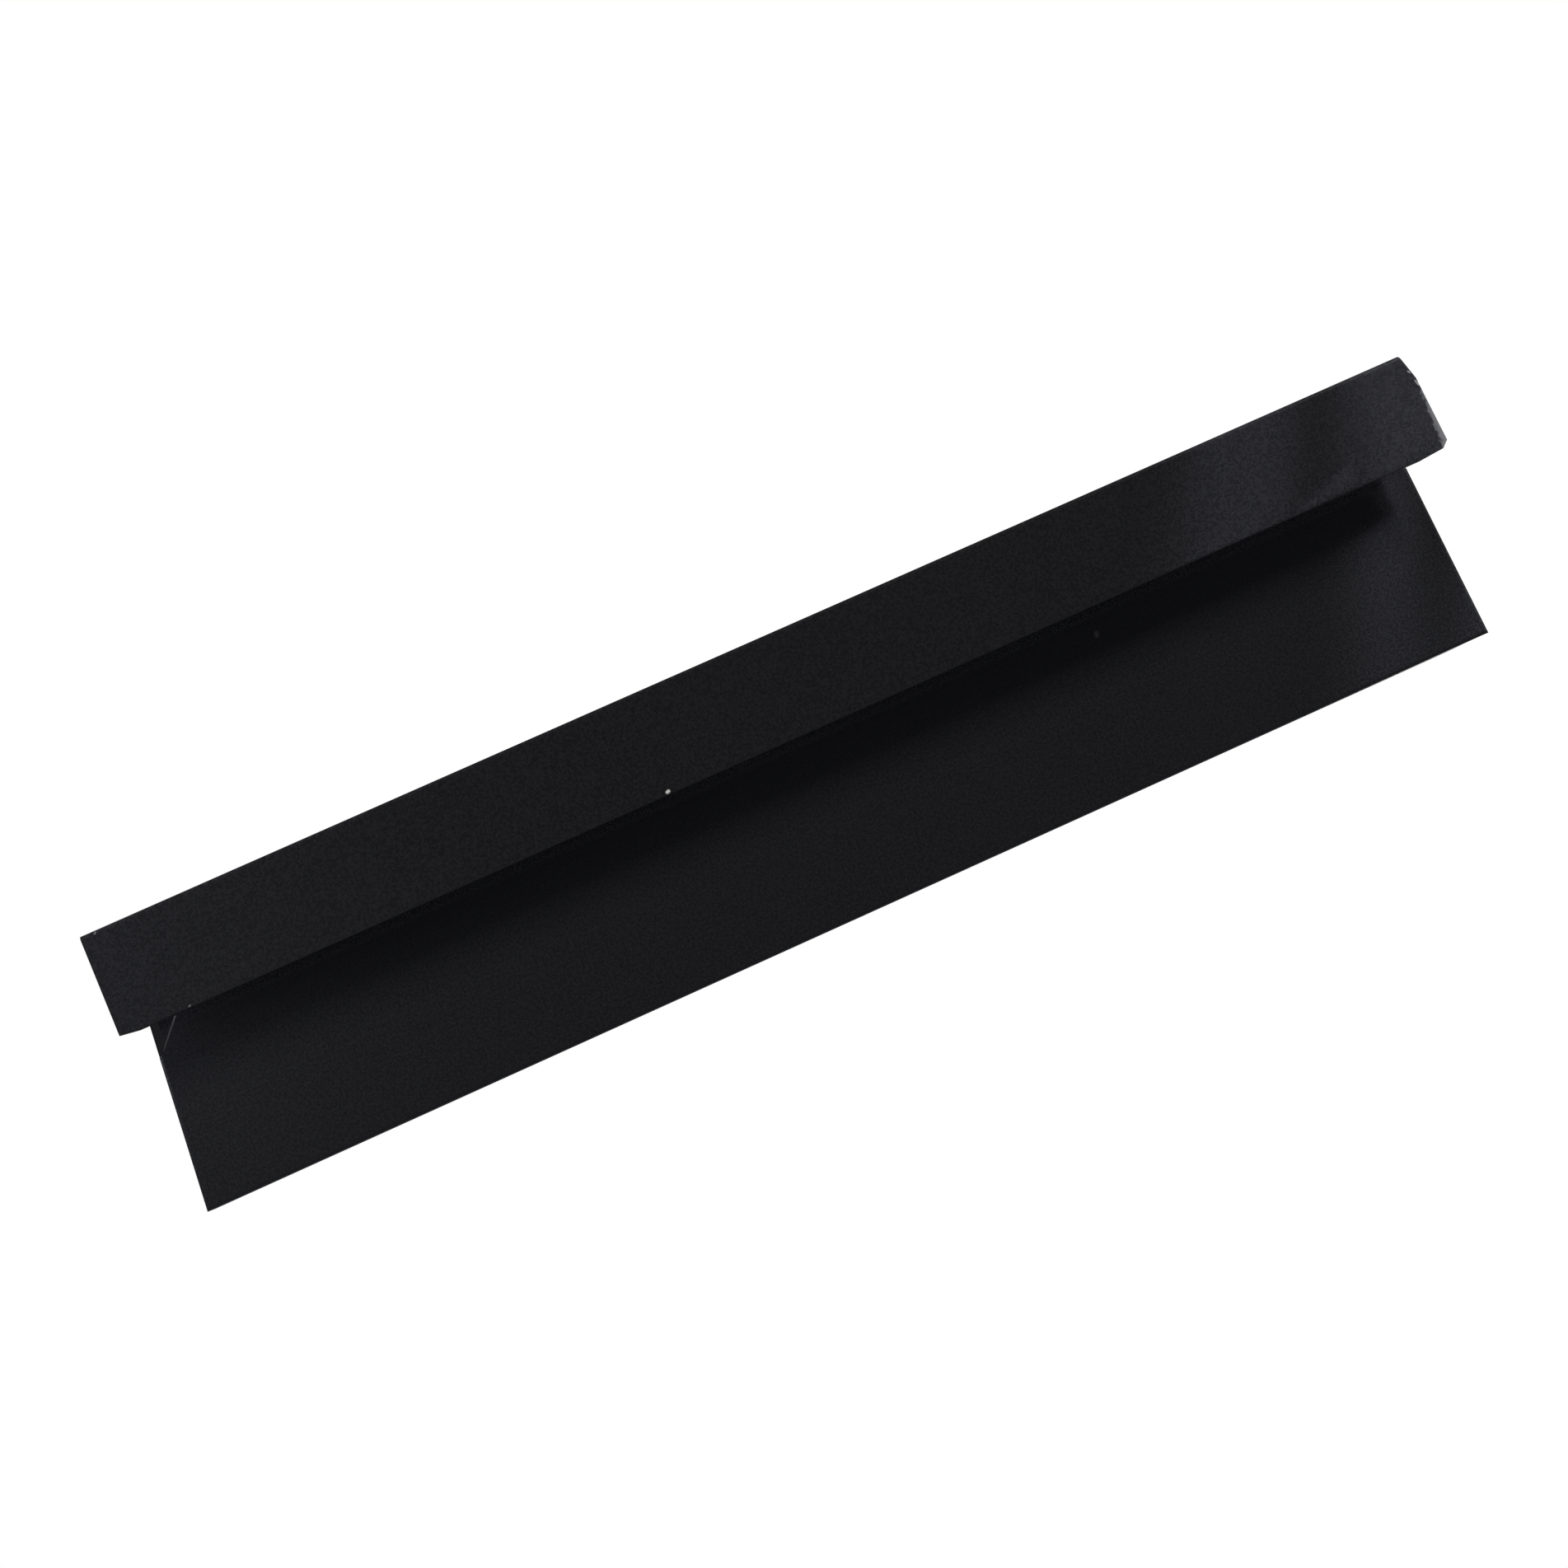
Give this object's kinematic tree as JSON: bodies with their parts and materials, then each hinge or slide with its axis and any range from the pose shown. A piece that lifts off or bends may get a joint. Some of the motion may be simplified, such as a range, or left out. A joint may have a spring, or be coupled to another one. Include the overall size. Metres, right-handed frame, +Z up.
{
  "type": "kick plate",
  "caption": "Black two-piece sheet-metal toe kick plate: a hemmed channel fascia overhangs a recessed folded panel that slides up and down behind it on slots.",
  "frame": {"origin": "on the fascia's flat top face, midway between the two mounting slots", "axes": "+X along the plate to the right seen from the front, +Y to the rear, +Z up"},
  "size_m": [0.606, 0.027, 0.1232],
  "materials": {
    "black_sheet": "semi-gloss black powder coat on 1 mm folded steel, worn to bare metal at sheared edges",
    "zinc_hardware": "bright zinc-plated steel"
  },
  "bodies": {
    "fascia": {"upper_fascia": "black_sheet"},
    "panel": {"lower_panel": "black_sheet", "clinch_nut_1": "zinc_hardware", "clinch_nut_2": "zinc_hardware", "clinch_nut_3": "zinc_hardware", "clinch_nut_4": "zinc_hardware", "adjusting_screw_1": "zinc_hardware", "adjusting_screw_2": "zinc_hardware", "adjusting_screw_3": "zinc_hardware", "adjusting_screw_4": "zinc_hardware", "flat_washer_1": "zinc_hardware", "flat_washer_2": "zinc_hardware", "flat_washer_3": "zinc_hardware", "flat_washer_4": "zinc_hardware", "spring_washer_1": "zinc_hardware", "spring_washer_2": "zinc_hardware", "spring_washer_3": "zinc_hardware", "spring_washer_4": "zinc_hardware"}
  },
  "joints": [
    {"name": "height_adjust", "type": "slide", "parent": "fascia", "child": "panel", "axis": [0, 0, 1], "range_m": [-0.008, 0.008]}
  ]
}
